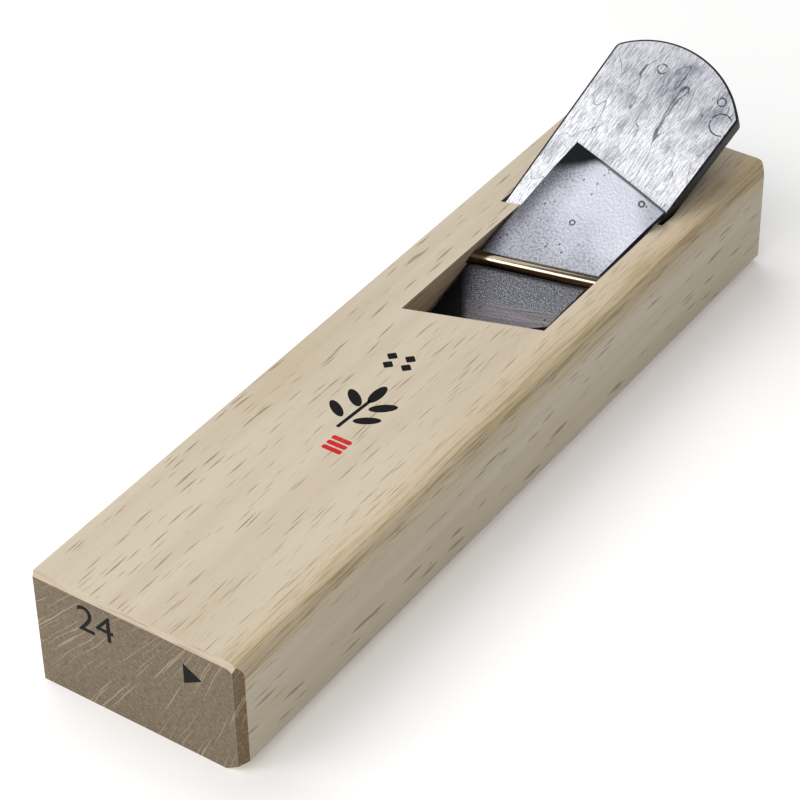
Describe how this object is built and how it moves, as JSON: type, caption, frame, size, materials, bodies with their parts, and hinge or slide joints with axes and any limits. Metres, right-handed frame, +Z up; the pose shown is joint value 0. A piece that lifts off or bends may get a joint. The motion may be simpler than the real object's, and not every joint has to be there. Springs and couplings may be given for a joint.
{
  "type": "hand plane",
  "caption": "Small wooden skew rabbet plane pulled by hand, with a skewed laminated wedge blade, a chipbreaker held under a steel cross pin and one flat working side",
  "frame": {"origin": "middle of the sole", "axes": "+X from the working side across the sole, +Y along the sole away from the leading end, +Z up from the sole"},
  "size_m": [0.044, 0.18, 0.0495],
  "materials": {
    "oak": "pale planed oak with short dark ray flecks, matt",
    "oak_plug": "oak plug trimmed flush, matt",
    "polished_pin": "polished steel with a warm bronze tint",
    "forged_iron": "lengthwise brushed face with forging lines and pits, black sides",
    "hard_steel": "ground bright steel",
    "dark_iron": "satin grey with a fine orange-peel skin, black sides",
    "breaker_steel": "ground steel"
  },
  "bodies": {
    "body": {"plane_body": "oak", "cross_pin": "polished_pin", "pin_plug": "oak_plug"},
    "blade": {"blade_iron": "forged_iron", "blade_steel": "hard_steel"},
    "chipbreaker": {"chipbreaker_iron": "dark_iron", "chipbreaker_steel": "breaker_steel"}
  },
  "joints": [
    {"name": "blade_slide", "type": "slide", "parent": "body", "child": "blade", "axis": [0.1861, 0.7907, 0.5833], "range_m": [-0.0005, 0.045]},
    {"name": "chipbreaker_slide", "type": "slide", "parent": "body", "child": "chipbreaker", "axis": [0.2668, 0.7858, 0.558], "range_m": [-0.002, 0.045]}
  ]
}
